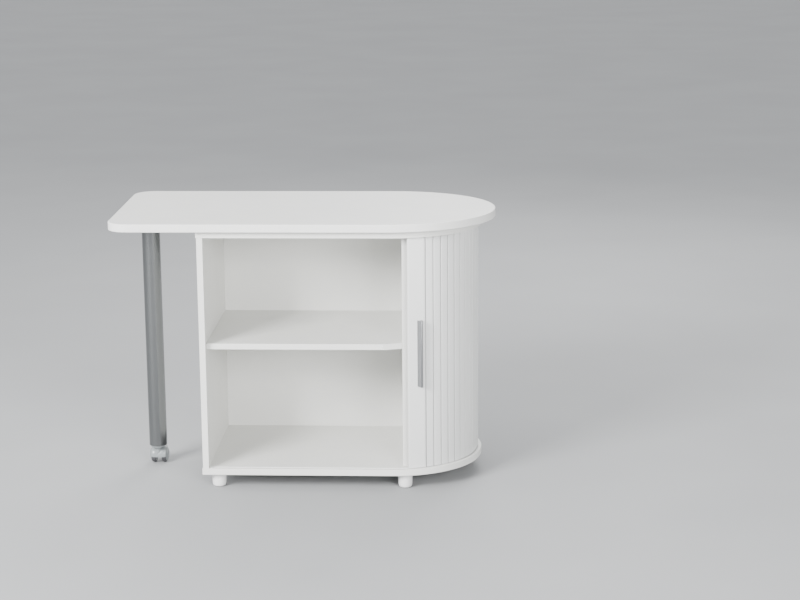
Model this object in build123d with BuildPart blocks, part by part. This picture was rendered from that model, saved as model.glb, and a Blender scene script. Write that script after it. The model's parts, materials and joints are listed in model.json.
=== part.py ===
"""Pivot-top desk: a cabinet with a side-rolling slatted door and a top that swings on it.

Frame: origin on the floor under the middle of the tabletop, +X along the length towards the
round end, +Y towards the back, +Z up. Millimetres.
"""
from build123d import *
import math
import os

# ---------------------------------------------------------------- driving dimensions
# tabletop
TOP_LENGTH = 1033.0
TOP_DEPTH = 510.0
TOP_THICKNESS = 22.0
TOP_SURFACE_Z = 740.0
TOP_END_LENGTH = 292.0          # half axis of the elliptical right end, along X
TOP_CORNER_R = 55.0             # both left corners
BAND_THICKNESS = 2.0
BAND_EDGE_R = 1.9

# cabinet
CABINET_LEFT = -276.5           # outer face of the side panel
CABINET_R = 235.0               # radius of the round end, half the cabinet's depth
ROUND_X = 243.5                 # centre of the round end, and the top's pivot axis
CABINET_TOP_Z = 715.0
FOOT_HEIGHT = 42.0
BASE_THICKNESS = 18.0
BASE_LIP = 2.0                  # the base stands proud of the side panel
PANEL = 16.0
BACK_THICKNESS = 8.0
LINER_THICKNESS = 4.0
LINER_R = 186.0                 # outer radius of the curved inner wall
DIVIDER_LEFT_X = 267.5
DIVIDER_SETBACK = 36.0
SHELF_TOP_Z = 406.0
SHELF_SETBACK = 19.0
SHELF_GAP = 0.5                 # at each end, and twice that at the back
SHELF_CORNER_LENGTH = 50.0
SHELF_CORNER_DEPTH = 17.0
PANEL_EDGE_R = 1.0
SIDE_SCREW_Y = 150.0
DIVIDER_SCREW_Y = 120.0

# tambour curtain and its track
TRACK_INSET = 13.0              # track centreline, in from the panel edge
SLOT_WIDTH = 8.0
TRACK_WIDTH = 11.0
TRACK_DEPTH = 8.0
TRACK_FLOOR = 1.5
SLAT_PITCH = 23.0
SLAT_GAP = 2.2
SLAT_THICKNESS = 6.0
SLAT_BEVEL = 1.2
SLAT_END_GAP = 1.0
LEAD_WIDTH = 48.0
LEAD_THICKNESS = 8.0
LEAD_EDGE_X = 282.5             # left edge of the lead slat with the curtain open
SINGLE_SLATS = 11
SLAT_PAIRS = 18

# handle
HANDLE_LENGTH = 183.0
HANDLE_WIDTH = 14.0
HANDLE_PROUD = 17.0
HANDLE_MID_Z = 381.0
HANDLE_OFFSET = 9.0             # to the right of the lead slat's middle
HANDLE_BACK_R = 26.0            # the rounded right side
NOSE_OFFSET = 1.5               # the nose leans to the right of the handle's middle
NOSE_HALF_WIDTH = 3.0
NOSE_ROUND = 2.5                # how far the nose's round reaches back
HOLLOW_X = -3.0                 # where the hollow left side passes, two fifths of the way out

# pivot
STUD_R = 6.0
STUD_CLEARANCE = 0.05
PLATE_R = 75.0
PLATE_THICKNESS = 1.5
STUD_FLANGE_R = 35.0
STUD_FLANGE_THICKNESS = 1.2
BUSH_R = 9.0
BUSH_FLANGE_R = 15.0
BUSH_FLANGE = 2.0
PAD_R = 14.0
PAD_EDGE_R = 0.8
PAD_SPOTS = ((-240, -190), (-240, 190), (20, -200), (20, 200))
STUD_BELOW_CEILING = 16.0
BEARING_GAP = 0.4
WASHER_R = 14.0
WASHER_THICKNESS = 2.0
NUT_FLAT_R = 9.5
NUT_HEIGHT = 9.0

# leg and caster
LEG_X = -437.5
LEG_R = 25.0
LEG_WALL = 1.5
LEG_BOTTOM_Z = 57.0
FLANGE_R = 42.0
FLANGE_THICKNESS = 3.0
FLANGE_EDGE_R = 1.0
FLANGE_SCREW_RING = 33.0
COLLAR_R = 21.0
COLLAR_BOTTOM_Z = 51.0
COLLAR_EDGE_R = 2.0
INSERT_LENGTH = 40.0
STEM_R = 5.5
STEM_END_GAP = 6.0
STEM_SOCKET_DEPTH = 14.0
STEM_TIP_R = 1.5
SWIVEL_GAP = 0.8
BOSS_R = 11.0
BOSS_HEIGHT = 3.5
COLUMN_HEIGHT = 22.0            # the post that carries the stem, in the middle of the housing
WHEEL_R = 23.0
WHEEL_WIDTH = 18.5
WHEEL_GAP = 16.0
WHEEL_EDGE_R = 2.5
WHEEL_CAP = 1.5                 # closes each wheel's bore on the outside
WEB_GAP = 0.8
AXLE_R = 4.0
AXLE_INSET = 2.0                # the axle ends inside the wheels' outer faces
TRAIL = 17.0
HOOD_R = 26.0
HOOD_THICKNESS = 2.0
HOOD_INSET = 4.0                # the hood stops short of the wheels' outer faces
HOOD_START = 20.0               # degrees from the horizontal at the rear
HOOD_SWEEP = 167.0

# feet and fastenings
FOOT_R = 20.5
FOOT_X = (-238.0, 273.0)
FOOT_Y = 196.0
FOOT_EDGE_R = 9.0
SCREW_R = 2.5
SCREW_HEAD_R = 4.5
PIN_R = 2.5
PIN_LENGTH = 16.0
PIN_DEPTH = 8.0
PIN_Y = 150.0
PIN_STEP = 32.0
CARCASS_SCREW_DEPTH = 30.0      # into the upright panels
FOOT_SCREW_IN_BASE = 12.0
FOOT_SCREW_IN_FOOT = 22.0
PLATE_SCREW_DEPTH = 12.0
PLATE_SCREW_RING = 60.0
FLANGE_SCREW_DEPTH = 14.0
FLANGE_HEAD_HEIGHT = 2.2
HANDLE_SCREW_R = 2.0
HANDLE_SCREW_HEAD_R = 3.6
HANDLE_SCREW_HEAD_HEIGHT = 1.6
HANDLE_SCREW_BITE = 6.0         # how far the screws go into the handle

# how a cylinder sits on its place: standing on it, or hanging from it
STANDING = (Align.CENTER, Align.CENTER, Align.MIN)
HANGING = (Align.CENTER, Align.CENTER, Align.MAX)
CUT_MARGIN = 1.0                # how far a cut runs past the edge it opens

# ---------------------------------------------------------------- derived sizes
TOP_LEFT = -TOP_LENGTH / 2
TOP_END_X = TOP_LENGTH / 2 - TOP_END_LENGTH
TOP_UNDERSIDE_Z = TOP_SURFACE_Z - TOP_THICKNESS
BASE_TOP_Z = FOOT_HEIGHT + BASE_THICKNESS
CEILING_Z = CABINET_TOP_Z - PANEL
INNER_LEFT = CABINET_LEFT + PANEL
TRACK_R = CABINET_R - TRACK_INSET
WALL_HEIGHT = CEILING_Z - BASE_TOP_Z
SLAT_HEIGHT = WALL_HEIGHT - 2 * SLAT_END_GAP
BACK_FACE_Y = LINER_R - BACK_THICKNESS
SHELF_Z = SHELF_TOP_Z - PANEL

os.makedirs("parts", exist_ok=True)


def save(builder, label):
    """Label one finished piece and write it as its own STEP file."""
    builder.part.label = label
    export_step(builder.part, f"parts/{label}.step")


def d_outline(inset, left):
    """A face with square left corners and a half-round right end, inside the cabinet's edge."""
    radius = CABINET_R - inset
    with BuildSketch() as outline:
        with BuildLine():
            Line((left, -radius), (ROUND_X, -radius))
            CenterArc((ROUND_X, 0), radius, -90, 180)
            Line((ROUND_X, radius), (left, radius))
            Line((left, radius), (left, -radius))
        make_face()
    return outline.sketch


def track_band(width):
    """The U-shaped strip that follows the track, open towards the side panel."""
    with BuildSketch() as band:
        add(d_outline(TRACK_INSET - width / 2, INNER_LEFT))
        add(d_outline(TRACK_INSET + width / 2, INNER_LEFT - CUT_MARGIN), mode=Mode.SUBTRACT)
    return band.sketch


def top_outline(inset=0.0):
    """The tabletop's edge: two rounded left corners and an elliptical right end."""
    half = TOP_DEPTH / 2 - inset
    corner = TOP_LEFT + TOP_CORNER_R
    corner_r = TOP_CORNER_R - inset
    corner_y = half - corner_r
    with BuildSketch() as outline:
        with BuildLine():
            Line((corner, -half), (TOP_END_X, -half))
            EllipticalCenterArc((TOP_END_X, 0), TOP_END_LENGTH - inset, half, -90,
                                arc_size=180)
            Line((TOP_END_X, half), (corner, half))
            CenterArc((corner, corner_y), corner_r, 90, 90)
            Line((TOP_LEFT + inset, corner_y), (TOP_LEFT + inset, -corner_y))
            CenterArc((corner, -corner_y), corner_r, 180, 90)
        make_face()
    return outline.sketch


# ---------------------------------------------------------------- cabinet carcass
side_screw_spots = [(CABINET_LEFT + PANEL / 2, y) for y in (-SIDE_SCREW_Y, SIDE_SCREW_Y)]
divider_screw_spots = [(DIVIDER_LEFT_X + PANEL / 2, y) for y in (-DIVIDER_SCREW_Y, DIVIDER_SCREW_Y)]
screw_spots = side_screw_spots + divider_screw_spots
foot_spots = [(x, y) for x in FOOT_X for y in (-FOOT_Y, FOOT_Y)]

with BuildPart() as base_panel:
    with BuildSketch(Plane.XY.offset(FOOT_HEIGHT)):
        add(d_outline(0, CABINET_LEFT - BASE_LIP))
    extrude(amount=BASE_THICKNESS)
    fillet(base_panel.edges().filter_by(Plane.XY), radius=PANEL_EDGE_R)
    with BuildSketch(Plane.XY.offset(BASE_TOP_Z)):
        add(track_band(TRACK_WIDTH))
    extrude(amount=-TRACK_DEPTH, mode=Mode.SUBTRACT)
    with Locations(*[(x, y, FOOT_HEIGHT) for x, y in screw_spots]):
        Cylinder(SCREW_R, BASE_THICKNESS, align=STANDING, mode=Mode.SUBTRACT)
    with Locations(*[(x, y, FOOT_HEIGHT) for x, y in foot_spots]):
        Cylinder(SCREW_R, FOOT_SCREW_IN_BASE, align=STANDING, mode=Mode.SUBTRACT)
save(base_panel, "base_panel")

with BuildPart() as top_panel:
    with BuildSketch(Plane.XY.offset(CEILING_Z)):
        add(d_outline(0, CABINET_LEFT - BASE_LIP))
    extrude(amount=PANEL)
    fillet(top_panel.edges().filter_by(Plane.XY), radius=PANEL_EDGE_R)
    with BuildSketch(Plane.XY.offset(CEILING_Z)):
        add(track_band(TRACK_WIDTH))
    extrude(amount=TRACK_DEPTH, mode=Mode.SUBTRACT)
    with Locations((ROUND_X, 0, CEILING_Z)):
        Cylinder(BUSH_R, PANEL, align=STANDING, mode=Mode.SUBTRACT)
    with Locations(*[(x, y, CEILING_Z) for x, y in screw_spots]):
        Cylinder(SCREW_R, PANEL, align=STANDING, mode=Mode.SUBTRACT)
    with Locations((ROUND_X, 0, CABINET_TOP_Z)):
        with PolarLocations(PLATE_SCREW_RING, 6):
            Cylinder(SCREW_R, PLATE_SCREW_DEPTH, align=HANGING, mode=Mode.SUBTRACT)
save(top_panel, "top_panel")

pin_rows = [SHELF_Z + step * PIN_STEP - PIN_R for step in (-1, 0, 1)]


def bore_pin_holes(face_x, direction):
    """Three rows of shelf pin holes, at the front and the back of an upright panel."""
    for z in pin_rows:
        for y in (-PIN_Y, PIN_Y):
            with Locations(Plane(origin=(face_x, y, z), z_dir=(direction, 0, 0))):
                Cylinder(PIN_R, PIN_DEPTH, align=STANDING, mode=Mode.SUBTRACT)


with BuildPart() as side_panel:
    with Locations((CABINET_LEFT, -CABINET_R, BASE_TOP_Z)):
        Box(PANEL, 2 * CABINET_R, WALL_HEIGHT, align=(Align.MIN, Align.MIN, Align.MIN))
    bore_pin_holes(INNER_LEFT, -1)
    for z, sits in ((BASE_TOP_Z, STANDING), (CEILING_Z, HANGING)):
        with Locations(*[(x, y, z) for x, y in side_screw_spots]):
            Cylinder(SCREW_R, CARCASS_SCREW_DEPTH, align=sits, mode=Mode.SUBTRACT)
save(side_panel, "side_panel")

divider_front = -CABINET_R + DIVIDER_SETBACK
with BuildPart() as divider_panel:
    with Locations((DIVIDER_LEFT_X, divider_front, BASE_TOP_Z)):
        Box(PANEL, BACK_FACE_Y - divider_front, WALL_HEIGHT,
            align=(Align.MIN, Align.MIN, Align.MIN))
    bore_pin_holes(DIVIDER_LEFT_X, 1)
    for z, sits in ((BASE_TOP_Z, STANDING), (CEILING_Z, HANGING)):
        with Locations(*[(x, y, z) for x, y in divider_screw_spots]):
            Cylinder(SCREW_R, CARCASS_SCREW_DEPTH, align=sits, mode=Mode.SUBTRACT)
save(divider_panel, "divider_panel")

with BuildPart() as back_panel:
    with Locations((INNER_LEFT, BACK_FACE_Y, BASE_TOP_Z)):
        Box(DIVIDER_LEFT_X + PANEL - INNER_LEFT, BACK_THICKNESS, WALL_HEIGHT,
            align=(Align.MIN, Align.MIN, Align.MIN))
save(back_panel, "back_panel")

# the curved inner wall closes the round end behind the curtain
with BuildPart() as end_liner:
    with BuildSketch(Plane.XY.offset(BASE_TOP_Z)):
        with Locations((ROUND_X, 0)):
            Circle(LINER_R)
            Circle(LINER_R - LINER_THICKNESS, mode=Mode.SUBTRACT)
        with Locations((DIVIDER_LEFT_X + PANEL, 0)):
            Rectangle(CABINET_R, 2 * CABINET_R, align=(Align.MIN, Align.CENTER),
                      mode=Mode.INTERSECT)
    extrude(amount=WALL_HEIGHT)
save(end_liner, "end_liner")

shelf_front = -CABINET_R + SHELF_SETBACK
shelf_back = BACK_FACE_Y - 2 * SHELF_GAP
shelf_left = INNER_LEFT + SHELF_GAP
shelf_right = DIVIDER_LEFT_X - SHELF_GAP
# The front corner beside the divider is cut back, so that the turning slats pass it.
shelf_outline = (
    (shelf_left, shelf_front),
    (shelf_right - SHELF_CORNER_LENGTH, shelf_front),
    (shelf_right, shelf_front + SHELF_CORNER_DEPTH),
    (shelf_right, shelf_back),
    (shelf_left, shelf_back),
)
with BuildPart() as shelf:
    with BuildSketch(Plane.XY.offset(SHELF_Z)):
        Polygon(*shelf_outline, align=None)
    extrude(amount=PANEL)
    front_edges = shelf.edges().filter_by(Axis.X).group_by(Axis.Y)[0]
    fillet(front_edges, radius=PANEL_EDGE_R)
save(shelf, "shelf")

with BuildPart() as shelf_pins:
    for face_x, direction in ((INNER_LEFT, 1), (DIVIDER_LEFT_X, -1)):
        for y in (-PIN_Y, PIN_Y):
            start = face_x - direction * PIN_DEPTH
            with Locations(Plane(origin=(start, y, SHELF_Z - PIN_R), z_dir=(direction, 0, 0))):
                Cylinder(PIN_R, PIN_LENGTH, align=STANDING)
save(shelf_pins, "shelf_pins")


def make_track(label, mouth_z, into):
    """One channel of the curtain's track, let into a panel; into is +1 upwards, -1 downwards."""
    with BuildPart() as track:
        with BuildSketch(Plane.XY.offset(mouth_z)):
            add(track_band(TRACK_WIDTH))
        extrude(amount=into * TRACK_DEPTH)
        with BuildSketch(Plane.XY.offset(mouth_z)):
            add(track_band(SLOT_WIDTH))
        extrude(amount=into * (TRACK_DEPTH - TRACK_FLOOR), mode=Mode.SUBTRACT)
    save(track, label)


make_track("lower_track", BASE_TOP_Z, -1)
make_track("upper_track", CEILING_Z, 1)

with BuildPart() as feet:
    for x, y in foot_spots:
        with BuildSketch(Plane(origin=(x, y, 0), x_dir=(1, 0, 0), z_dir=(0, -1, 0))) as section:
            Rectangle(FOOT_R, FOOT_HEIGHT, align=(Align.MIN, Align.MIN))
            # the sketch's own Y runs up the foot
            outer_low = section.vertices().group_by(Axis.Y)[0].sort_by(Axis.X)[-1]
            fillet(outer_low, radius=FOOT_EDGE_R)
        revolve(axis=Axis((x, y, 0), (0, 0, 1)))
    with Locations(*[(x, y, FOOT_HEIGHT) for x, y in foot_spots]):
        Cylinder(SCREW_R, FOOT_SCREW_IN_FOOT, align=HANGING, mode=Mode.SUBTRACT)
save(feet, "feet")

# carcass screws from below and above, foot screws, and the pivot plate's screws
with BuildPart() as cabinet_screws:
    with Locations(*[(x, y, FOOT_HEIGHT) for x, y in screw_spots]):
        Cylinder(SCREW_R, BASE_THICKNESS + CARCASS_SCREW_DEPTH, align=STANDING)
    with Locations(*[(x, y, CABINET_TOP_Z) for x, y in screw_spots]):
        Cylinder(SCREW_R, PANEL + CARCASS_SCREW_DEPTH, align=HANGING)
    with Locations(*[(x, y, FOOT_HEIGHT + FOOT_SCREW_IN_BASE) for x, y in foot_spots]):
        Cylinder(SCREW_R, FOOT_SCREW_IN_BASE + FOOT_SCREW_IN_FOOT, align=HANGING)
    with Locations((ROUND_X, 0, CABINET_TOP_Z + PLATE_THICKNESS)):
        with PolarLocations(PLATE_SCREW_RING, 6):
            Cylinder(SCREW_R, PLATE_SCREW_DEPTH + PLATE_THICKNESS, align=HANGING)
save(cabinet_screws, "cabinet_screws")

# ---------------------------------------------------------------- pivot, on the cabinet
with BuildPart() as pivot_plate:
    with BuildSketch(Plane.XY.offset(CABINET_TOP_Z)):
        with Locations((ROUND_X, 0)):
            Circle(PLATE_R)
            Circle(BUSH_R, mode=Mode.SUBTRACT)
            with PolarLocations(PLATE_SCREW_RING, 6):
                Circle(SCREW_R, mode=Mode.SUBTRACT)
    extrude(amount=PLATE_THICKNESS)
save(pivot_plate, "pivot_plate")

with BuildPart() as pivot_bush:
    with BuildSketch(Plane.XY.offset(CEILING_Z)):
        with Locations((ROUND_X, 0)):
            Circle(BUSH_R)
    extrude(amount=PANEL + PLATE_THICKNESS)
    with BuildSketch(Plane.XY.offset(CEILING_Z)):
        with Locations((ROUND_X, 0)):
            Circle(BUSH_FLANGE_R)
    extrude(amount=-BUSH_FLANGE)
    with Locations((ROUND_X, 0, CEILING_Z - BUSH_FLANGE)):
        Cylinder(STUD_R + STUD_CLEARANCE, BUSH_FLANGE + PANEL + PLATE_THICKNESS,
                 align=STANDING, mode=Mode.SUBTRACT)
save(pivot_bush, "pivot_bush")

pad_height = TOP_UNDERSIDE_Z - CABINET_TOP_Z - BEARING_GAP
with BuildPart() as glide_pads:
    for x, y in PAD_SPOTS:
        with BuildSketch(Plane.XY.offset(CABINET_TOP_Z)):
            with Locations((x, y)):
                Circle(PAD_R)
        extrude(amount=pad_height)
    fillet(glide_pads.faces().group_by(Axis.Z)[-1].edges(), radius=PAD_EDGE_R)
save(glide_pads, "glide_pads")

# ---------------------------------------------------------------- swinging top and leg
with BuildPart() as tabletop:
    with BuildSketch(Plane.XY.offset(TOP_UNDERSIDE_Z)):
        add(top_outline(BAND_THICKNESS))
    extrude(amount=TOP_THICKNESS)
    with Locations((LEG_X, 0, TOP_UNDERSIDE_Z)):
        with PolarLocations(FLANGE_SCREW_RING, 4, start_angle=45):
            Cylinder(SCREW_R, FLANGE_SCREW_DEPTH, align=STANDING, mode=Mode.SUBTRACT)
save(tabletop, "tabletop")

with BuildPart() as edge_band:
    with BuildSketch(Plane.XY.offset(TOP_UNDERSIDE_Z)):
        add(top_outline())
    extrude(amount=TOP_THICKNESS)
    fillet(edge_band.edges().filter_by(Plane.XY), radius=BAND_EDGE_R)
    with BuildSketch(Plane.XY.offset(TOP_UNDERSIDE_Z)):
        add(top_outline(BAND_THICKNESS))
    extrude(amount=TOP_THICKNESS, mode=Mode.SUBTRACT)
save(edge_band, "edge_band")

stud_bottom_z = CEILING_Z - STUD_BELOW_CEILING
washer_top_z = CEILING_Z - BUSH_FLANGE - BEARING_GAP
with BuildPart() as pivot_bolt:
    with Locations((ROUND_X, 0, TOP_UNDERSIDE_Z)):
        Cylinder(STUD_FLANGE_R, STUD_FLANGE_THICKNESS, align=HANGING)
    with Locations((ROUND_X, 0, stud_bottom_z)):
        Cylinder(STUD_R, TOP_UNDERSIDE_Z - STUD_FLANGE_THICKNESS - stud_bottom_z, align=STANDING)
save(pivot_bolt, "pivot_bolt")

with BuildPart() as pivot_nut:
    with BuildSketch(Plane.XY.offset(washer_top_z)):
        with Locations((ROUND_X, 0)):
            Circle(WASHER_R)
            Circle(STUD_R, mode=Mode.SUBTRACT)
    extrude(amount=-WASHER_THICKNESS)
    with BuildSketch(Plane.XY.offset(washer_top_z - WASHER_THICKNESS)):
        with Locations((ROUND_X, 0)):
            RegularPolygon(NUT_FLAT_R, 6, major_radius=False)
            Circle(STUD_R, mode=Mode.SUBTRACT)
    extrude(amount=-NUT_HEIGHT)
save(pivot_nut, "pivot_nut")

with BuildPart() as leg_flange:
    with BuildSketch(Plane.XY.offset(TOP_UNDERSIDE_Z)):
        with Locations((LEG_X, 0)):
            Circle(FLANGE_R)
            with PolarLocations(FLANGE_SCREW_RING, 4, start_angle=45):
                Circle(SCREW_R, mode=Mode.SUBTRACT)
    extrude(amount=-FLANGE_THICKNESS)
    fillet(leg_flange.faces().group_by(Axis.Z)[0].edges().sort_by(Edge.length)[-1:], radius=FLANGE_EDGE_R)
save(leg_flange, "leg_flange")

with BuildPart() as flange_screws:
    with Locations((LEG_X, 0, TOP_UNDERSIDE_Z)):
        with PolarLocations(FLANGE_SCREW_RING, 4, start_angle=45):
            Cylinder(SCREW_R, FLANGE_SCREW_DEPTH, align=STANDING)
            Cylinder(SCREW_R, FLANGE_THICKNESS, align=HANGING)
    with Locations((LEG_X, 0, TOP_UNDERSIDE_Z - FLANGE_THICKNESS)):
        with PolarLocations(FLANGE_SCREW_RING, 4, start_angle=45):
            Cylinder(SCREW_HEAD_R, FLANGE_HEAD_HEIGHT, align=HANGING)
save(flange_screws, "flange_screws")

with BuildPart() as leg_tube:
    with BuildSketch(Plane.XY.offset(LEG_BOTTOM_Z)):
        with Locations((LEG_X, 0)):
            Circle(LEG_R)
            Circle(LEG_R - LEG_WALL, mode=Mode.SUBTRACT)
    extrude(amount=TOP_UNDERSIDE_Z - FLANGE_THICKNESS - LEG_BOTTOM_Z)
save(leg_tube, "leg_tube")

stem_bottom_z = COLLAR_BOTTOM_Z - SWIVEL_GAP
stem_length = INSERT_LENGTH - STEM_END_GAP
with BuildPart() as leg_insert:
    with Locations((LEG_X, 0, LEG_BOTTOM_Z)):
        Cylinder(LEG_R - LEG_WALL, INSERT_LENGTH, align=STANDING)
        Cylinder(COLLAR_R, LEG_BOTTOM_Z - COLLAR_BOTTOM_Z, align=HANGING)
    fillet(leg_insert.faces().group_by(Axis.Z)[0].edges(), radius=COLLAR_EDGE_R)
    with Locations((LEG_X, 0, COLLAR_BOTTOM_Z)):
        Cylinder(STEM_R + STUD_CLEARANCE, INSERT_LENGTH, align=STANDING, mode=Mode.SUBTRACT)
save(leg_insert, "leg_insert")

# ---------------------------------------------------------------- twin-wheel caster
web_half = WHEEL_GAP / 2 - WEB_GAP
hood_half = WHEEL_GAP / 2 + WHEEL_WIDTH - HOOD_INSET
axle_half = WHEEL_GAP / 2 + WHEEL_WIDTH - AXLE_INSET
side_plane = Plane(origin=(LEG_X - hood_half, TRAIL, WHEEL_R), x_dir=(0, 1, 0), z_dir=(1, 0, 0))
web_plane = Plane(origin=(LEG_X - web_half, TRAIL, WHEEL_R), x_dir=(0, 1, 0), z_dir=(1, 0, 0))
with BuildPart() as caster_housing:
    with BuildSketch(web_plane):
        Circle(HOOD_R - HOOD_THICKNESS)
        with Locations((0, -HOOD_R / 2)):
            Rectangle(2 * HOOD_R, HOOD_R, mode=Mode.SUBTRACT)
        Circle(BOSS_R)
        with Locations((-TRAIL, (HOOD_R + HOOD_THICKNESS) / 2)):
            Rectangle(2 * web_half, HOOD_R - HOOD_THICKNESS)
    extrude(amount=2 * web_half)
    with BuildSketch(side_plane):
        with BuildLine():
            outer = CenterArc((0, 0), HOOD_R, HOOD_START, HOOD_SWEEP)
            inner = CenterArc((0, 0), HOOD_R - HOOD_THICKNESS, HOOD_START, HOOD_SWEEP)
            Line(outer @ 0, inner @ 0)
            Line(outer @ 1, inner @ 1)
        make_face()
    extrude(amount=2 * hood_half)
    with Locations((LEG_X, 0, stem_bottom_z)):
        Cylinder(BOSS_R, BOSS_HEIGHT, align=HANGING)
        Cylinder(web_half, COLUMN_HEIGHT, align=HANGING)
    with Locations(Plane(origin=(LEG_X, TRAIL, WHEEL_R), z_dir=(1, 0, 0))):
        Cylinder(AXLE_R, 4 * hood_half, mode=Mode.SUBTRACT)
    with Locations((LEG_X, 0, stem_bottom_z)):
        Cylinder(STEM_R, STEM_SOCKET_DEPTH, align=HANGING, mode=Mode.SUBTRACT)
save(caster_housing, "caster_housing")

with BuildPart() as caster_stem:
    with Locations((LEG_X, 0, stem_bottom_z - STEM_SOCKET_DEPTH)):
        Cylinder(STEM_R, STEM_SOCKET_DEPTH + stem_length, align=STANDING)
    fillet(caster_stem.faces().sort_by(Axis.Z)[-1].edges(), radius=STEM_TIP_R)
save(caster_stem, "caster_stem")

with BuildPart() as caster_axle:
    with Locations(Plane(origin=(LEG_X - axle_half, TRAIL, WHEEL_R), z_dir=(1, 0, 0))):
        Cylinder(AXLE_R, 2 * axle_half, align=STANDING)
save(caster_axle, "caster_axle")

for side, label in ((-1, "wheel_left"), (1, "wheel_right")):
    inner_x = LEG_X + side * WHEEL_GAP / 2
    with BuildPart() as wheel:
        with BuildSketch(Plane(origin=(inner_x, TRAIL, WHEEL_R), z_dir=(side, 0, 0))):
            Circle(WHEEL_R)
        extrude(amount=WHEEL_WIDTH)
        fillet(wheel.edges().filter_by(GeomType.CIRCLE), radius=WHEEL_EDGE_R)
        with BuildSketch(Plane(origin=(inner_x, TRAIL, WHEEL_R), z_dir=(side, 0, 0))):
            Circle(AXLE_R + STUD_CLEARANCE)
        extrude(amount=WHEEL_WIDTH - WHEEL_CAP, mode=Mode.SUBTRACT)
    save(wheel, label)

# ---------------------------------------------------------------- tambour curtain
slat_mouth_z = BASE_TOP_Z + SLAT_END_GAP
lead_start = TRACK_R * math.asin((LEAD_EDGE_X - ROUND_X) / TRACK_R)


def track_plane(distance, z):
    """A plane on the track: distance is measured from the front end of the round, +X is along
    the track and +Y points into the cabinet."""
    if distance <= 0:
        return Plane(origin=(ROUND_X + distance, -TRACK_R, z), x_dir=(1, 0, 0))
    turn = min(distance / TRACK_R, math.pi)
    past = max(distance - math.pi * TRACK_R, 0)
    place = (ROUND_X + TRACK_R * math.sin(turn) - past, -TRACK_R * math.cos(turn), z)
    return Plane(origin=place, x_dir=(math.cos(turn), math.sin(turn), 0), z_dir=(0, 0, 1))


def slat_section(width, thickness, offset_x=0.0):
    """One slat seen from above: bevelled outer corners, and sides that close inwards."""
    half = width / 2
    deep = thickness / 2
    with BuildSketch() as section:
        with BuildLine():
            Polyline(
                (offset_x - half, SLAT_BEVEL - deep), (offset_x - half + SLAT_BEVEL, -deep),
                (offset_x + half - SLAT_BEVEL, -deep), (offset_x + half, SLAT_BEVEL - deep),
                (offset_x + half - SLAT_BEVEL, deep), (offset_x - half + SLAT_BEVEL, deep),
                close=True)
        make_face()
    return section.sketch


lead_plane = track_plane(lead_start + LEAD_WIDTH / 2, slat_mouth_z)
handle_plane = lead_plane.offset(HANDLE_MID_Z - HANDLE_LENGTH / 2 - slat_mouth_z)
handle_screw_z = (-HANDLE_LENGTH / 3, HANDLE_LENGTH / 3)
lead_back = Plane(
    origin=lead_plane.from_local_coords((HANDLE_OFFSET, LEAD_THICKNESS / 2, 0)) +
    Vector(0, 0, HANDLE_MID_Z - slat_mouth_z),
    x_dir=(0, 0, 1), z_dir=-lead_plane.y_dir)
screw_reach = LEAD_THICKNESS + HANDLE_SCREW_BITE

with BuildPart() as lead_slat:
    with BuildSketch(lead_plane):
        add(slat_section(LEAD_WIDTH, LEAD_THICKNESS))
    extrude(amount=SLAT_HEIGHT)
    with BuildSketch(lead_back):
        with Locations(*[(z, 0) for z in handle_screw_z]):
            Circle(HANDLE_SCREW_R)
    extrude(amount=LEAD_THICKNESS, mode=Mode.SUBTRACT)
save(lead_slat, "lead_slat")

# the handle is a vertical finger pull: hollow on the left, rounded on the right
handle_left = HANDLE_OFFSET - HANDLE_WIDTH / 2
handle_right = HANDLE_OFFSET + HANDLE_WIDTH / 2
handle_foot = -LEAD_THICKNESS / 2
nose_tip = (HANDLE_OFFSET + NOSE_OFFSET, handle_foot - HANDLE_PROUD)
nose_left = (nose_tip[0] - NOSE_HALF_WIDTH, nose_tip[1] + NOSE_ROUND)
nose_right = (nose_tip[0] + NOSE_HALF_WIDTH, nose_tip[1] + NOSE_ROUND)
hollow = (HANDLE_OFFSET + HOLLOW_X, handle_foot - HANDLE_PROUD * 2 / 5)
with BuildPart() as handle:
    with BuildSketch(handle_plane):
        with BuildLine():
            Line((handle_left, handle_foot), (handle_right, handle_foot))
            RadiusArc((handle_right, handle_foot), nose_right, HANDLE_BACK_R)
            ThreePointArc(nose_right, nose_tip, nose_left)
            ThreePointArc(nose_left, hollow, (handle_left, handle_foot))
        make_face()
    extrude(amount=HANDLE_LENGTH)
    with BuildSketch(lead_back.offset(LEAD_THICKNESS)):
        with Locations(*[(z, 0) for z in handle_screw_z]):
            Circle(HANDLE_SCREW_R)
    extrude(amount=screw_reach - LEAD_THICKNESS, mode=Mode.SUBTRACT)
save(handle, "handle")

with BuildPart() as handle_screws:
    with BuildSketch(lead_back):
        with Locations(*[(z, 0) for z in handle_screw_z]):
            Circle(HANDLE_SCREW_R)
    extrude(amount=screw_reach)
    with BuildSketch(lead_back):
        with Locations(*[(z, 0) for z in handle_screw_z]):
            Circle(HANDLE_SCREW_HEAD_R)
    extrude(amount=-HANDLE_SCREW_HEAD_HEIGHT)
save(handle_screws, "handle_screws")

slat_width = SLAT_PITCH - SLAT_GAP
next_edge = lead_start + LEAD_WIDTH + SLAT_GAP
for number in range(SINGLE_SLATS):
    with BuildPart() as slat:
        with BuildSketch(track_plane(next_edge + slat_width / 2, slat_mouth_z)):
            add(slat_section(slat_width, SLAT_THICKNESS))
        extrude(amount=SLAT_HEIGHT)
    save(slat, f"slat_{number + 1:02d}")
    next_edge += SLAT_PITCH

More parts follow.
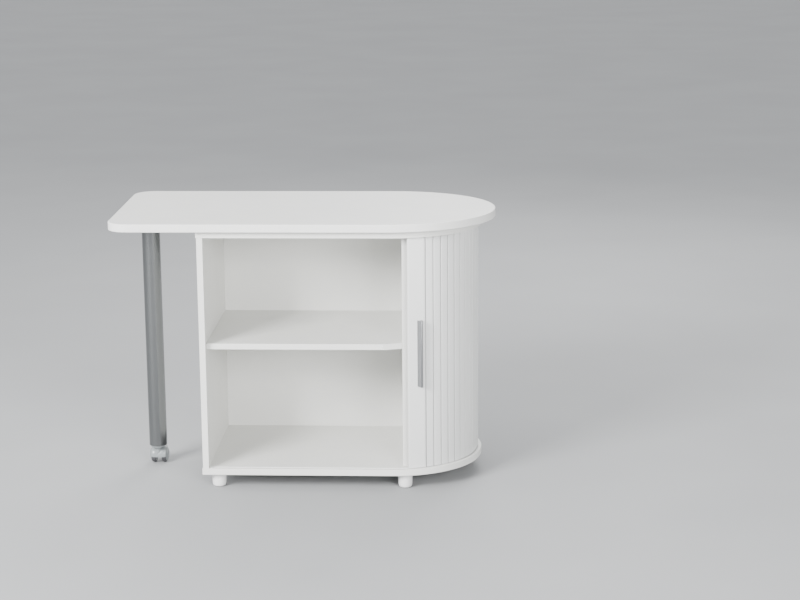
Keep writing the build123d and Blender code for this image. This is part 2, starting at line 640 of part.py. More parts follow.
for number in range(SLAT_PAIRS):
    with BuildPart() as pair:
        with BuildSketch(track_plane(next_edge + SLAT_PITCH - SLAT_GAP / 2, slat_mouth_z)):
            add(slat_section(slat_width, SLAT_THICKNESS, -SLAT_PITCH / 2))
            add(slat_section(slat_width, SLAT_THICKNESS, SLAT_PITCH / 2))
        extrude(amount=SLAT_HEIGHT)
    save(pair, f"slat_pair_{number + 1:02d}")
    next_edge += 2 * SLAT_PITCH
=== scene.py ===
import json
import math

import bmesh
import bpy
from mathutils import Matrix, Vector

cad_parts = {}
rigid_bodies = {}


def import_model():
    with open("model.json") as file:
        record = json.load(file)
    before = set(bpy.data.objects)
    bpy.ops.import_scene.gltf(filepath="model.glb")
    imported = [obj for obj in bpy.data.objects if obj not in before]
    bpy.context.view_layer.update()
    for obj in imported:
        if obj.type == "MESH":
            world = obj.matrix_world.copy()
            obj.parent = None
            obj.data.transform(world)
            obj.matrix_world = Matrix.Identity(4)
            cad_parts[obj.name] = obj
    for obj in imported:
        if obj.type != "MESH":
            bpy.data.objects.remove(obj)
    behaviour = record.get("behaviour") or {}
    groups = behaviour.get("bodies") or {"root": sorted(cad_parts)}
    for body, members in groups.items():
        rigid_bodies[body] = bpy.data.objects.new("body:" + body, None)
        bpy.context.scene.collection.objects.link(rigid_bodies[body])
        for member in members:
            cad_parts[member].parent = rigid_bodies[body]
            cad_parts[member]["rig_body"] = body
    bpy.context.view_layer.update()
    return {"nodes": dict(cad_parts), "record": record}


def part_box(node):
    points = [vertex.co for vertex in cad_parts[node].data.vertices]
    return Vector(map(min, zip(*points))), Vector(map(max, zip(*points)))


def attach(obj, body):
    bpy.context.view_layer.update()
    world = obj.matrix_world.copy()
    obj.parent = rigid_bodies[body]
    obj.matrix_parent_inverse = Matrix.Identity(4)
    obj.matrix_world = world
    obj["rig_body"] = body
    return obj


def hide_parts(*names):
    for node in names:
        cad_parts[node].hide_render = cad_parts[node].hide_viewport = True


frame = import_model()
nodes = frame["nodes"]
MM = 0.001

# ---------------------------------------------------------------- where things are
TRACK_INSET = 13 * MM

leg_lo, leg_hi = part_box("leg_tube")
leg_x = (leg_lo.x + leg_hi.x) / 2
wheel_lo, wheel_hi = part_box("wheel_left")
wheel_r = (wheel_hi.z - wheel_lo.z) / 2
axle_y = (wheel_lo.y + wheel_hi.y) / 2
cabinet_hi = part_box("base_panel")[1]
round_r = cabinet_hi.y
round_x = cabinet_hi.x - round_r
track_r = round_r - TRACK_INSET


# ---------------------------------------------------------------- materials
def shade(colour, by):
    return tuple(min(1.0, c * by) for c in colour)


class Paint:
    """A material under construction: its nodes, and short ways to add and join them."""

    def __init__(self, name, colour, rough, metallic=0.0, **sockets):
        self.base, self.rough = colour, rough
        self.mat = bpy.data.materials.new(name)
        self.mat.use_nodes = True
        self.mat.diffuse_color = (*colour, 1.0)
        self.tree = self.mat.node_tree
        self.shader = self.tree.nodes["Principled BSDF"]
        self.shader.inputs["Base Color"].default_value = (*colour, 1.0)
        self.shader.inputs["Roughness"].default_value = rough
        self.shader.inputs["Metallic"].default_value = metallic
        for key, value in sockets.items():
            self.shader.inputs[key.replace("_", " ")].default_value = value
        self.coords = self.tree.nodes.new("ShaderNodeTexCoord")
        self.height = None

    def add(self, kind, **inputs):
        node = self.tree.nodes.new("ShaderNode" + kind)
        for key, value in inputs.items():
            node.inputs[key.replace("_", " ")].default_value = value
        return node

    def join(self, out, into):
        self.tree.links.new(out, into)

    def noise(self, scale, detail, rough=0.55, stretch=None):
        """Noise on the object's own coordinates, in metres; a stretch below 1 draws it out."""
        tex = self.add("TexNoise", Scale=scale, Detail=detail, Roughness=rough)
        source = self.coords.outputs["Object"]
        if stretch:
            mapping = self.add("Mapping", Scale=stretch)
            self.join(source, mapping.inputs["Vector"])
            source = mapping.outputs["Vector"]
        self.join(source, tex.inputs["Vector"])
        return tex.outputs["Fac"]

    def colour(self, source, low, low_colour, high, high_colour):
        """Base colour from one colour at the source's low value to another at its high one."""
        node = self.add("ValToRGB")
        stops = ((low, low_colour), (high, high_colour))
        for element, (place, colour) in zip(node.color_ramp.elements, stops):
            element.position = place
            element.color = (*colour, 1.0)
        self.join(source, node.inputs["Fac"])
        self.join(node.outputs["Color"], self.shader.inputs["Base Color"])

    def mottle(self, source, dark, light, low=0.3, high=0.7):
        """The paint's own colour, times dark at the source's low value and light at its high."""
        self.colour(source, low, shade(self.base, dark), high, shade(self.base, light))

    def sheen(self, source, smoother, rougher):
        """Roughness that strays from the paint's own by so much either way."""
        node = self.add("MapRange")
        node.inputs["To Min"].default_value = self.rough - smoother
        node.inputs["To Max"].default_value = self.rough + rougher
        self.join(source, node.inputs["Value"])
        self.join(node.outputs["Result"], self.shader.inputs["Roughness"])

    def bump(self, source, depth, strength):
        """Relief of so many metres, laid over whatever relief is already there."""
        node = self.add("Bump", Strength=strength, Distance=depth)
        self.join(source, node.inputs["Height"])
        if self.height:
            self.join(self.height, node.inputs["Normal"])
        self.height = node.outputs["Normal"]
        self.join(self.height, self.shader.inputs["Normal"])


def laminate(name, colour, rough):
    """Melamine-faced board: a fine pearl print and a slightly uneven sheen."""
    p = Paint(name, colour, rough, IOR=1.5)
    p.mottle(p.noise(scale=9, detail=4), dark=0.975, light=1.015)
    p.sheen(p.noise(scale=28, detail=3), smoother=0.05, rougher=0.07)
    p.bump(p.noise(scale=1900, detail=2), depth=0.00006, strength=0.35)
    p.bump(p.noise(scale=240, detail=3), depth=0.00008, strength=0.18)
    return p.mat


def moulded(name, colour, rough):
    """Moulded plastic with a spark-eroded texture."""
    p = Paint(name, colour, rough, IOR=1.48)
    p.mottle(p.noise(scale=22, detail=3), dark=0.96, light=1.02)
    p.sheen(p.noise(scale=60, detail=2), smoother=0.04, rougher=0.06)
    p.bump(p.noise(scale=2600, detail=2), depth=0.00005, strength=0.4)
    return p.mat


def extruded(name, colour, rough):
    """Extruded plastic slats: faint draw lines along their length."""
    p = Paint(name, colour, rough, IOR=1.49)
    lines = p.noise(scale=520, detail=3, rough=0.6, stretch=(1, 1, 0.01))
    streaks = p.noise(scale=14, detail=3, rough=0.5, stretch=(1, 1, 0.25))
    p.mottle(streaks, dark=0.965, light=1.015)
    p.sheen(lines, smoother=0.05, rougher=0.07)
    p.bump(lines, depth=0.00006, strength=0.35)
    return p.mat


def coated(name, colour, rough):
    """Silver powder coat on steel: metallic flakes under a soft orange peel."""
    p = Paint(name, colour, rough, metallic=0.9)
    flakes = p.noise(scale=2600, detail=2, rough=0.7)
    p.mottle(flakes, dark=0.84, light=1.12, low=0.35, high=0.65)
    p.sheen(p.noise(scale=700, detail=2), smoother=0.06, rougher=0.08)
    p.bump(p.noise(scale=420, detail=2), depth=0.00007, strength=0.3)
    return p.mat


def brushed(name, colour, rough, grain=(1, 1, 0.02)):
    """Metal drawn or brushed along the axis that grain leaves long."""
    p = Paint(name, colour, rough, metallic=1.0)
    lines = p.noise(scale=1500, detail=4, rough=0.65, stretch=grain)
    p.mottle(lines, dark=0.88, light=1.08, low=0.25, high=0.75)
    p.sheen(lines, smoother=0.07, rougher=0.1)
    p.bump(lines, depth=0.00004, strength=0.4)
    return p.mat


def rubber(name, colour, rough):
    """Soft tread, with dust worked into it."""
    p = Paint(name, colour, rough)
    p.mottle(p.noise(scale=130, detail=5), dark=1.0, light=2.1, low=0.35, high=0.72)
    p.sheen(p.noise(scale=300, detail=3), smoother=0.08, rougher=0.1)
    p.bump(p.noise(scale=1400, detail=3), depth=0.0001, strength=0.5)
    return p.mat


def fibre(name, colour, rough):
    """Pressed felt."""
    p = Paint(name, colour, rough, Sheen_Weight=0.35)
    p.mottle(p.noise(scale=900, detail=5, rough=0.7), dark=0.85, light=1.06)
    p.bump(p.noise(scale=1700, detail=5, rough=0.75), depth=0.0003, strength=0.7)
    return p.mat


NO_GRAIN = (1, 1, 1)
paint = {
    "white_laminate": laminate("white_laminate", (0.66, 0.66, 0.635), 0.42),
    "white_edge": laminate("white_edge", (0.71, 0.71, 0.69), 0.36),
    "white_slat": extruded("white_slat", (0.65, 0.655, 0.645), 0.40),
    "white_plastic": moulded("white_plastic", (0.72, 0.72, 0.71), 0.34),
    "silver_leg": coated("silver_leg", (0.17, 0.176, 0.178), 0.22),
    "silver_handle": brushed("silver_handle", (0.30, 0.305, 0.315), 0.34),
    "grey_plastic": moulded("grey_plastic", (0.21, 0.228, 0.232), 0.2),
    "tread": rubber("tread", (0.035, 0.035, 0.038), 0.62),
    "steel": brushed("steel", (0.62, 0.62, 0.62), 0.32, NO_GRAIN),
    "felt": fibre("felt", (0.75, 0.75, 0.74), 0.9),
    "hardboard": laminate("hardboard", (0.62, 0.62, 0.60), 0.55),
}
slot_of = {s["node"]: s["material_slot"] for s in frame["record"]["subparts"]}


def finish_with(obj, name):
    obj.data.materials.clear()
    obj.data.materials.append(paint[name])


for name, obj in nodes.items():
    finish_with(obj, slot_of[name])

# ---------------------------------------------------------------- mesh helpers
SMOOTH_BELOW = math.radians(32)
ON_AXIS = 1e-7
EDGE_MIDDLE = 0.3
LONGEST_CORNER = 0.45


def settle(name, mesh, finish, body, replaced=()):
    """A finished mesh as a piece: linked, painted, smooth by angle and riding on its body."""
    obj = bpy.data.objects.new(name, mesh)
    bpy.context.scene.collection.objects.link(obj)
    finish_with(obj, finish)
    for face in mesh.polygons:
        face.use_smooth = True
    mesh.set_sharp_from_angle(angle=SMOOTH_BELOW)
    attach(obj, body)
    if replaced:
        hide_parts(*replaced)
    return obj


def from_bmesh(name, bm, *args, **kwargs):
    bmesh.ops.recalc_face_normals(bm, faces=bm.faces)
    mesh = bpy.data.meshes.new(name)
    bm.to_mesh(mesh)
    bm.free()
    return settle(name, mesh, *args, **kwargs)


def prism(bm, outline, z0, z1, place=None, edge=0.0):
    """A closed outline carried from z0 to z1, with softened ends when edge is given."""
    part = edge * EDGE_MIDDLE
    levels = [(z0, edge), (z0 + part, part), (z0 + edge, 0.0),
              (z1 - edge, 0.0), (z1 - part, part), (z1, edge)]
    if not edge:
        levels = [(z0, 0.0), (z1, 0.0)]
    mid_x = sum(p[0] for p in outline) / len(outline)
    mid_y = sum(p[1] for p in outline) / len(outline)
    half_x = max(abs(p[0] - mid_x) for p in outline)
    half_y = max(abs(p[1] - mid_y) for p in outline)
    rings = []
    for z, shrink in levels:
        kx, ky = 1 - shrink / half_x, 1 - shrink / half_y
        ring = [Vector((mid_x + (x - mid_x) * kx, mid_y + (y - mid_y) * ky, z))
                for x, y in outline]
        rings.append([bm.verts.new(place @ v if place else v) for v in ring])
    count = len(outline)
    for low, high in zip(rings, rings[1:]):
        for i in range(count):
            j = (i + 1) % count
            bm.faces.new((low[i], low[j], high[j], high[i]))
    bm.faces.new(rings[0][::-1])
    bm.faces.new(rings[-1])


def turned(bm, profile, axis_point, axis_dir, steps=64, closed=False):
    """A profile of (radius, along) points turned about an axis. An end at radius 0 becomes one
    point; closed joins the last ring to the first."""
    axis = Vector(axis_dir).normalized()
    side = axis.orthogonal().normalized()
    other = axis.cross(side)
    rings = []
    for radius, along in profile:
        centre = Vector(axis_point) + axis * along
        if radius < ON_AXIS:
            rings.append([bm.verts.new(centre)])
            continue
        ring = []
        for i in range(steps):
            angle = math.tau * i / steps
            spoke = side * math.cos(angle) + other * math.sin(angle)
            ring.append(bm.verts.new(centre + spoke * radius))
        rings.append(ring)
    pairs = list(zip(rings, rings[1:]))
    if closed:
        pairs.append((rings[-1], rings[0]))
    for a, b in pairs:
        for i in range(steps):
            j = (i + 1) % steps
            if len(a) == 1:
                bm.faces.new((a[0], b[j], b[i]))
            elif len(b) == 1:
                bm.faces.new((a[i], a[j], b[0]))
            else:
                bm.faces.new((a[i], a[j], b[j], b[i]))


def rounded(points, radius, steps=4):
    """The outline with each corner turned into a short arc."""
    out = []
    count = len(points)
    for i, p in enumerate(points):
        p, a, b = Vector(p), Vector(points[i - 1]), Vector(points[(i + 1) % count])
        r = min(radius, (a - p).length * LONGEST_CORNER, (b - p).length * LONGEST_CORNER)
        start, end = p + (a - p).normalized() * r, p + (b - p).normalized() * r
        for k in range(steps + 1):
            t = k / steps
            q = start * (1 - t) ** 2 + p * 2 * t * (1 - t) + end * t * t
            out.append((q.x, q.y))
    return out


# ---------------------------------------------------------------- curtain slats
PITCH = 23 * MM
GAP = 2.2 * MM
SINGLE_SLATS = 11
SLAT_PAIRS = 18
SLAT_THICKNESS = 6 * MM
LEAD_THICKNESS = 8 * MM
LEAD_WIDTH = 48 * MM
LEAD_FRONT_X = 282.5 * MM

CROWN = 0.22 * MM
CROWN_STEPS = 8
SLAT_END_EDGE = 0.4 * MM
SHOULDER = 0.9 * MM
SHOULDER_MIDDLE = 0.28 * SHOULDER
BACK_BEVEL = 1.2 * MM
BACK_CORNER = 1.3 * MM
REBATE_Y = 1.5 * MM
REBATE_FLOOR = 4.2 * MM
REBATE_MOUTH = 4.4 * MM
TONGUE_FRONT = 2.1 * MM
TONGUE_BACK = 2.9 * MM
TONGUE_ROOT_Y = 0.5 * MM
TONGUE_ROOT_X = 0.3 * MM

# Tongues only where they clear the next slat through the whole travel: the stored pairs behind
# the eighth slide past each other on the way.
TONGUE = 3.1 * MM
LEAD_TONGUE = 1.6 * MM
LAST_TONGUED_PAIR = 8


def on_track(distance):
    """Place and direction on the track at a distance from the front end of the round."""
    if distance <= 0:
        return Vector((round_x + distance, -track_r)), 0.0
    turn = min(distance / track_r, math.pi)
    past = max(distance - math.pi * track_r, 0.0)
    x = round_x + track_r * math.sin(turn) - past
    return Vector((x, -track_r * math.cos(turn))), turn


def slat_outline(width, thick, reach, rebate=True):
    """A slat seen from above: a faintly crowned face and round shoulders. A tongue at the back
    reaches towards the next slat, and lies in the rebate of that slat's back."""
    half, deep = width / 2, thick / 2
    corner = -deep + CROWN
    face = []
    for k in range(CROWN_STEPS + 1):
        t = -1 + 2 * k / CROWN_STEPS
        face.append((t * (half - SHOULDER), -deep + CROWN * t * t))
    right = [(half - SHOULDER_MIDDLE, corner + SHOULDER_MIDDLE), (half, corner + SHOULDER)]
    if reach:
        right += [(half, TONGUE_FRONT - TONGUE_ROOT_Y), (half + TONGUE_ROOT_X, TONGUE_FRONT),
                  (half + reach, TONGUE_FRONT), (half + reach, TONGUE_BACK),
                  (half - BACK_BEVEL, TONGUE_BACK)]
    else:
        right += [(half, deep - BACK_BEVEL)]
    right += [(half - BACK_CORNER, deep)]
    if rebate:
        left = [(-half + REBATE_MOUTH, deep), (-half + REBATE_FLOOR, REBATE_Y), (-half, REBATE_Y)]
    else:
        left = [(-half + BACK_BEVEL, deep), (-half, deep - BACK_BEVEL)]
    left += [(-half, corner + SHOULDER), (-half + SHOULDER_MIDDLE, corner + SHOULDER_MIDDLE)]
    return face + right + left


def slat_place(distance):
    spot, turn = on_track(distance)
    return Matrix.Translation((spot.x, spot.y, 0.0)) @ Matrix.Rotation(turn, 4, "Z")


lead_start = track_r * math.asin((LEAD_FRONT_X - round_x) / track_r)
lead_middle = lead_start + LEAD_WIDTH / 2
slat_width = PITCH - GAP
slat_lo, slat_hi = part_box("slat_01")


def slat_piece(name, distance, offsets, reaches, width, thick, rebate=True):
    """One slat, or a rigid pair on one straight line, as the curtain's bodies carry them."""
    bm = bmesh.new()
    place = slat_place(distance)
    for offset, reach in zip(offsets, reaches):
        outline = [(x + offset, y) for x, y in slat_outline(width, thick, reach, rebate)]
        prism(bm, outline, slat_lo.z, slat_hi.z, place, SLAT_END_EDGE)
    from_bmesh(name + "_profile", bm, "white_slat", nodes[name]["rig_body"], (name,))


slat_piece("lead_slat", lead_middle, [0.0], [LEAD_TONGUE], LEAD_WIDTH, LEAD_THICKNESS,
           rebate=False)
edge = lead_start + LEAD_WIDTH + GAP
for number in range(1, SINGLE_SLATS + 1):
    slat_piece(f"slat_{number:02d}", edge + slat_width / 2, [0.0], [TONGUE], slat_width,
               SLAT_THICKNESS)
    edge += PITCH
for number in range(1, SLAT_PAIRS + 1):
    reaches = [TONGUE if number <= LAST_TONGUED_PAIR else 0.0,
               TONGUE if number < LAST_TONGUED_PAIR else 0.0]
    slat_piece(f"slat_pair_{number:02d}", edge + PITCH - GAP / 2, [-PITCH / 2, PITCH / 2],
               reaches, slat_width, SLAT_THICKNESS)
    edge += 2 * PITCH

# ---------------------------------------------------------------- handle
# Points in mm on the lead slat's own axes: x along the track, y into the cabinet.
FOOT_RIGHT = (16, -4)
FLANK_RIGHT = (15.5, -11.4)
NOSE_RIGHT = (13.5, -18.5)
NOSE_TIP = (10.5, -21)
NOSE_LEFT = (7.5, -18.5)
HOLLOW_LEFT = (6, -10.8)
FOOT_LEFT = (2, -4)
HANDLE_END_EDGE = 0.9 * MM


def arc_through(p, q, r, steps):
    """Points on the circle through three points, from the first to the last."""
    ax, ay, bx, by, cx, cy = *p, *q, *r
    d = 2 * (ax * (by - cy) + bx * (cy - ay) + cx * (ay - by))
    ux = ((ax * ax + ay * ay) * (by - cy) + (bx * bx + by * by) * (cy - ay)
          + (cx * cx + cy * cy) * (ay - by)) / d
    uy = ((ax * ax + ay * ay) * (cx - bx) + (bx * bx + by * by) * (ax - cx)
          + (cx * cx + cy * cy) * (bx - ax)) / d
    radius = math.hypot(ax - ux, ay - uy)
    start, mid, end = (math.atan2(y - uy, x - ux) for x, y in (p, q, r))
    while mid < start:
        mid += math.tau
    while end < start:
        end += math.tau
    if mid > end:
        end -= math.tau
    return [(ux + radius * math.cos(start + (end - start) * k / steps),
             uy + radius * math.sin(start + (end - start) * k / steps)) for k in range(steps + 1)]


handle_lo, handle_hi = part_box("handle")
pull = arc_through(FOOT_RIGHT, FLANK_RIGHT, NOSE_RIGHT, 8)
pull += arc_through(NOSE_RIGHT, NOSE_TIP, NOSE_LEFT, 10)[1:]
pull += arc_through(NOSE_LEFT, HOLLOW_LEFT, FOOT_LEFT, 10)[1:]
pull = [(x * MM, y * MM) for x, y in pull]
grip = bmesh.new()
prism(grip, pull, handle_lo.z, handle_hi.z, slat_place(lead_middle), HANDLE_END_EDGE)
from_bmesh("handle_pull", grip, "silver_handle", nodes["handle"]["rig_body"], ("handle",))

# ---------------------------------------------------------------- feet
FOOT_R = 20.5 * MM
FOOT_NECK_R = 18.6 * MM
FOOT_BORE_R = 2.5 * MM
FOOT_BORE_DEPTH = 20 * MM
# Radius and height in mm, from the rounded sole up to the lip near the top.
FOOT_SOLE = [(0.0, 0.0), (9, 0.0), (13, 0.5), (16.2, 2.4), (17.8, 5.0), (18.6, 8.5)]
FOOT_FLANK = [(19.4, 22), (20.1, 37.5)]
FOOT_LIP = [(20.5, 39.2), (20.5, 40.0), (19.0, 40.6), (18.6, 41.0)]

foot_lo, foot_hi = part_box("feet")
bore_z = foot_hi.z - FOOT_BORE_DEPTH
foot_profile = [(r * MM, z * MM) for r, z in FOOT_SOLE + FOOT_FLANK + FOOT_LIP]
foot_profile += [(FOOT_NECK_R, foot_hi.z), (FOOT_BORE_R, foot_hi.z), (FOOT_BORE_R, bore_z),
                 (0.0, bore_z)]
stand = bmesh.new()
for x in (foot_lo.x + FOOT_R, foot_hi.x - FOOT_R):
    for y in (foot_lo.y + FOOT_R, foot_hi.y - FOOT_R):
        turned(stand, foot_profile, (x, y, 0), (0, 0, 1))
from_bmesh("feet_turned", stand, "white_plastic", nodes["feet"]["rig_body"], ("feet",))

# ---------------------------------------------------------------- twin-wheel caster
# In mm. TYRE and HUB_RIM: depth below the tread, distance from the wheel's inner face.
# HUB_FACE: radius, depth below the outer face. HUB_BACK: radius, distance from the inner face.
TYRE = [(4.2, 0.5), (1.8, 0.0), (0.5, 0.8), (0.0, 2.4), (0.0, 9.5), (0.5, 11.2), (2.0, 12.6),
        (4.2, 12.6)]
HUB_FACE = [(0.0, 0.9), (4.6, 0.9), (5.4, 1.6), (6.2, 0.9), (9.0, 0.35), (12.5, 0.9),
            (16.0, 2.3), (18.8, 4.3)]
HUB_RIM = [(1.9, 12.9), (4.3, 12.7), (4.3, 0.7), (6.5, 1.6)]
HUB_BACK = [(5.0, 1.6), (4.05, 1.2)]
HUB_BORE_R = 4.05 * MM
HUB_BORE_END = 1.75 * MM

for side, name in ((-1, "wheel_left"), (1, "wheel_right")):
    lo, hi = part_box(name)
    inner, outer = (hi.x, lo.x) if side < 0 else (lo.x, hi.x)
    width = abs(outer - inner)
    axis_at = (inner, axle_y, wheel_r)
    out = (side, 0, 0)
    tyre_profile = [(wheel_r - depth * MM, along * MM) for depth, along in TYRE]
    tyre = bmesh.new()
    turned(tyre, tyre_profile, axis_at, out, closed=True)
    from_bmesh(name + "_tread", tyre, "tread", nodes[name]["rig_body"])
    hub_profile = [(radius * MM, width - depth * MM) for radius, depth in HUB_FACE]
    hub_profile += [(wheel_r - depth * MM, along * MM) for depth, along in HUB_RIM]
    hub_profile += [(radius * MM, along * MM) for radius, along in HUB_BACK]
    hub_profile += [(HUB_BORE_R, width - HUB_BORE_END), (0.0, width - HUB_BORE_END)]
    hub = bmesh.new()
    turned(hub, hub_profile, axis_at, out)
    from_bmesh(name + "_hub", hub, "grey_plastic", nodes[name]["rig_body"], (name,))

# The hood's outer radius and how it changes with the distance from the caster's middle, in mm.
HOOD_R = 26.0
HOOD_INNER_R = 23.6 + 0.2
HOOD_HALF = 20.5 * MM
HOOD_WALL = 1.6 * MM
BARREL_EDGE, BARREL_EDGE_RUN = 11.0, 9.5
BARREL_EDGE_DROP, BARREL_EDGE_POWER = 2.6, 2.2
WAIST_HALF, WAIST_DEPTH = 5, 0.5
WEB_SIDE = 8 * MM
VEE_HALF, VEE_DEPTH, VEE_LEAST = 7.8, 3.0, 0.3
VEE_BANK, VEE_BANK_LEAST = 0.14, 0.5
# Along its sweep, in degrees from the back over the top to the front.
HOOD_START, HOOD_END = 20.0, 187.0
HOOD_TOP = 90.0
VEE_START = 40.0
VEE_END, VEE_END_RUN = 178.0, 45.0
HOOD_COLUMNS, HOOD_ROWS = 61, 52


def hood_radius(across, degrees):
    """The hood's outer radius: a barrel on each wheel, parted by a V that opens upwards as seen
    from the front."""
    d = abs(across) / MM
    radius = HOOD_R - BARREL_EDGE_DROP * max(
        0.0, (d - BARREL_EDGE) / BARREL_EDGE_RUN) ** BARREL_EDGE_POWER
    radius -= WAIST_DEPTH * max(0.0, (WAIST_HALF - d) / WAIST_HALF) ** 2
    opening = min(1.0, max(0.0, (VEE_END - degrees) / VEE_END_RUN))
    if degrees < HOOD_TOP:
        opening *= max(0.0, (degrees - VEE_START) / (HOOD_TOP - VEE_START))
    reach = VEE_HALF * opening
    if reach > VEE_LEAST:
        dip = min(1.0, max(0.0, (reach - d) / (VEE_BANK * reach + VEE_BANK_LEAST)))
        radius -= VEE_DEPTH * opening * dip
    return radius * MM


shell = bmesh.new()
skins = []
for inset in (0.0, HOOD_WALL):
    grid = []
    for i in range(HOOD_ROWS + 1):
        degrees = HOOD_START + (HOOD_END - HOOD_START) * i / HOOD_ROWS
        turn = math.radians(degrees)
        line = []
        for j in range(HOOD_COLUMNS):
            across = HOOD_HALF * (-1 + 2 * j / (HOOD_COLUMNS - 1))
            radius = hood_radius(across, degrees) - inset
            if inset and abs(across) > WEB_SIDE:
                radius = min(radius, HOOD_INNER_R * MM)
            line.append(shell.verts.new((leg_x + across, axle_y + radius * math.cos(turn),
                                         wheel_r + radius * math.sin(turn))))
        grid.append(line)
    skins.append(grid)
outside, inside = skins
for i in range(HOOD_ROWS):
    for j in range(HOOD_COLUMNS - 1):
        shell.faces.new((outside[i][j], outside[i][j + 1], outside[i + 1][j + 1],
                         outside[i + 1][j]))
        shell.faces.new((inside[i][j], inside[i + 1][j], inside[i + 1][j + 1],
                         inside[i][j + 1]))
for i in range(HOOD_ROWS):
    for j in (0, HOOD_COLUMNS - 1):
        shell.faces.new((outside[i][j], outside[i + 1][j], inside[i + 1][j], inside[i][j]))
for j in range(HOOD_COLUMNS - 1):
    for i in (0, HOOD_ROWS):
        shell.faces.new((outside[i][j], outside[i][j + 1], inside[i][j + 1], inside[i][j]))

# The web between the wheels, from the stem's socket down to the axle: y and z in mm from the
# axle.
WEB = [(-19, 3), (-17, -1), (-8, -8), (0, -10.5), (8, -7), (14, 3), (16, 16), (5, 21.5),
       (-8, 20.5), (-17, 15)]
WEB_HALF = 7.0 * MM
WEB_CORNER = 4 * MM
WEB_EDGE = 0.6 * MM
web = [(axle_y + y * MM, wheel_r + z * MM) for y, z in WEB]
across_x = Matrix(((0, 0, 1, 0), (1, 0, 0, 0), (0, 1, 0, 0), (0, 0, 0, 1)))
prism(shell, rounded(web, WEB_CORNER), leg_x - WEB_HALF, leg_x + WEB_HALF, across_x, WEB_EDGE)

# The stem's socket: its collar as radius and depth below the top, in mm.
SOCKET_COLLAR = [(7.2, 6), (9.6, 3.2), (10.6, 1.6), (10.6, 0.6), (10.0, 0.0)]
SOCKET_R = 7.0 * MM
SOCKET_FOOT = 8 * MM
STEM_HOLE_R = 5.5 * MM
STEM_HOLE_DEPTH = 12 * MM
SOCKET_STEPS = 48
socket_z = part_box("caster_housing")[1].z
hole_z = socket_z - STEM_HOLE_DEPTH
socket = [(0.0, wheel_r + SOCKET_FOOT), (SOCKET_R, wheel_r + SOCKET_FOOT)]
socket += [(radius * MM, socket_z - depth * MM) for radius, depth in SOCKET_COLLAR]
socket += [(STEM_HOLE_R, socket_z), (STEM_HOLE_R, hole_z), (0.0, hole_z)]
turned(shell, socket, (leg_x, 0, 0), (0, 0, 1), SOCKET_STEPS)
from_bmesh("caster_hood", shell, "grey_plastic", nodes["caster_housing"]["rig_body"],
           ("caster_housing",))

# ---------------------------------------------------------------- softened board edges
WELD_WITHIN = 1e-5
BOARD_EDGE = 0.0006
BOARD_EDGE_ABOVE = math.radians(50)
for name in ("side_panel", "divider_panel", "back_panel", "end_liner"):
    weld = nodes[name].modifiers.new("weld", "WELD")
    weld.merge_threshold = WELD_WITHIN
    soft = nodes[name].modifiers.new("soft_edges", "BEVEL")
    soft.width = BOARD_EDGE
    soft.segments = 2
    soft.limit_method = "ANGLE"
    soft.angle_limit = BOARD_EDGE_ABOVE

# ---------------------------------------------------------------- floor
FLOOR_HALF = 64.0
FLOOR_BELOW = 0.0005
FLOOR_COLOUR, FLOOR_ROUGH = (0.30, 0.305, 0.31), 0.8
FLOOR_DARK, FLOOR_LIGHT = (0.29, 0.295, 0.30), (0.31, 0.315, 0.32)
floor_mesh = bpy.data.meshes.new("floor")
corners = [(x * FLOOR_HALF, y * FLOOR_HALF, 0) for x, y in ((-1, -1), (1, -1), (1, 1), (-1, 1))]
floor_mesh.from_pydata(corners, [], [(0, 1, 2, 3)])
floor = bpy.data.objects.new("floor", floor_mesh)
bpy.context.scene.collection.objects.link(floor)
floor.location.z = -FLOOR_BELOW
ground = Paint("floor_paint", FLOOR_COLOUR, FLOOR_ROUGH)
ground.colour(ground.noise(scale=1.5, detail=2), 0.3, FLOOR_DARK, 0.7, FLOOR_LIGHT)
floor.data.materials.append(ground.mat)

# ---------------------------------------------------------------- lights
# Name, place, width in metres and power in watts. All of them face the middle of the desk.
LIGHTS = [
    ("key", (-2.6, -3.4, 2.4), 1.7, 520),
    ("fill", (2.2, -4.2, 1.6), 2.0, 270),
    ("rim", (0.9, 3.0, 2.8), 2.0, 120),
]
LIGHT_TARGET = (0.0, 0.0, 0.4)
LIGHT_HEIGHT_RATIO = 0.75
for name, place, width, power in LIGHTS:
    data = bpy.data.lights.new(name, "AREA")
    data.shape = "RECTANGLE"
    data.size, data.size_y = width, width * LIGHT_HEIGHT_RATIO
    data.energy = power
    lamp = bpy.data.objects.new(name, data)
    lamp.location = place
    aim = Vector(LIGHT_TARGET) - Vector(place)
    lamp.rotation_euler = aim.to_track_quat("-Z", "Y").to_euler()
    bpy.context.scene.collection.objects.link(lamp)

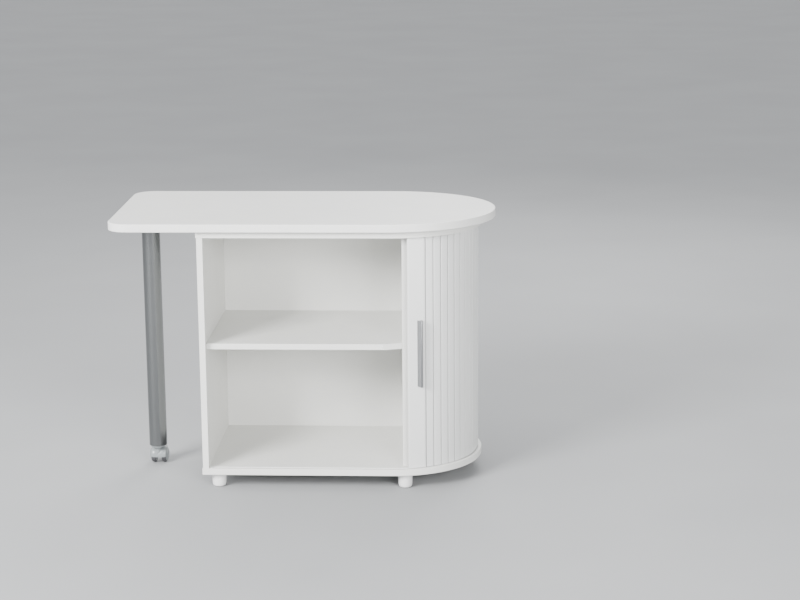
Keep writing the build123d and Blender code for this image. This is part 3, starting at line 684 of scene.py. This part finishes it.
# ---------------------------------------------------------------- surroundings
# Bright on the left and dimmer on the right, with a smooth passage between.
SKY_COLOUR = (0.97, 0.98, 1.0, 1)
SKY_PASSAGE = 0.9
SKY_LEFT, SKY_RIGHT = 2.0, 0.62
world = bpy.data.worlds.new("studio")
bpy.context.scene.world = world
world.use_nodes = True
sky = world.node_tree
backdrop = sky.nodes["Background"]
backdrop.inputs["Color"].default_value = SKY_COLOUR
direction = sky.nodes.new("ShaderNodeTexCoord")
split = sky.nodes.new("ShaderNodeSeparateXYZ")
spread = sky.nodes.new("ShaderNodeMapRange")
spread.interpolation_type = "SMOOTHSTEP"
spread.inputs["From Min"].default_value = -SKY_PASSAGE
spread.inputs["From Max"].default_value = SKY_PASSAGE
spread.inputs["To Min"].default_value = SKY_LEFT
spread.inputs["To Max"].default_value = SKY_RIGHT
sky.links.new(direction.outputs["Generated"], split.inputs["Vector"])
sky.links.new(split.outputs["X"], spread.inputs["Value"])
sky.links.new(spread.outputs["Result"], backdrop.inputs["Strength"])

# ---------------------------------------------------------------- camera
CAMERA_AT = (0.52517, -5.49563, 1.75268)
CAMERA_YAW, CAMERA_PITCH, CAMERA_ROLL = 2.84, 13.04, -0.47
CAMERA_FOCUS_PX, PICTURE_WIDTH_PX = 2034.0, 800.0
CAMERA_SENSOR_MM = 36.0
CAMERA_REACH = 100
camera_data = bpy.data.cameras.new("camera")
camera_data.sensor_width = CAMERA_SENSOR_MM
camera_data.lens = CAMERA_FOCUS_PX * CAMERA_SENSOR_MM / PICTURE_WIDTH_PX
camera = bpy.data.objects.new("camera", camera_data)
camera.location = CAMERA_AT
yaw = Matrix.Rotation(math.radians(CAMERA_YAW), 4, "Z")
tilt = Matrix.Rotation(math.radians(90 - CAMERA_PITCH), 4, "X")
lean = Matrix.Rotation(math.radians(CAMERA_ROLL), 4, "Z")
camera.rotation_euler = (yaw @ tilt @ lean).to_euler()
camera_data.clip_end = CAMERA_REACH
bpy.context.scene.collection.objects.link(camera)
bpy.context.scene.camera = camera

bpy.context.view_layer.update()
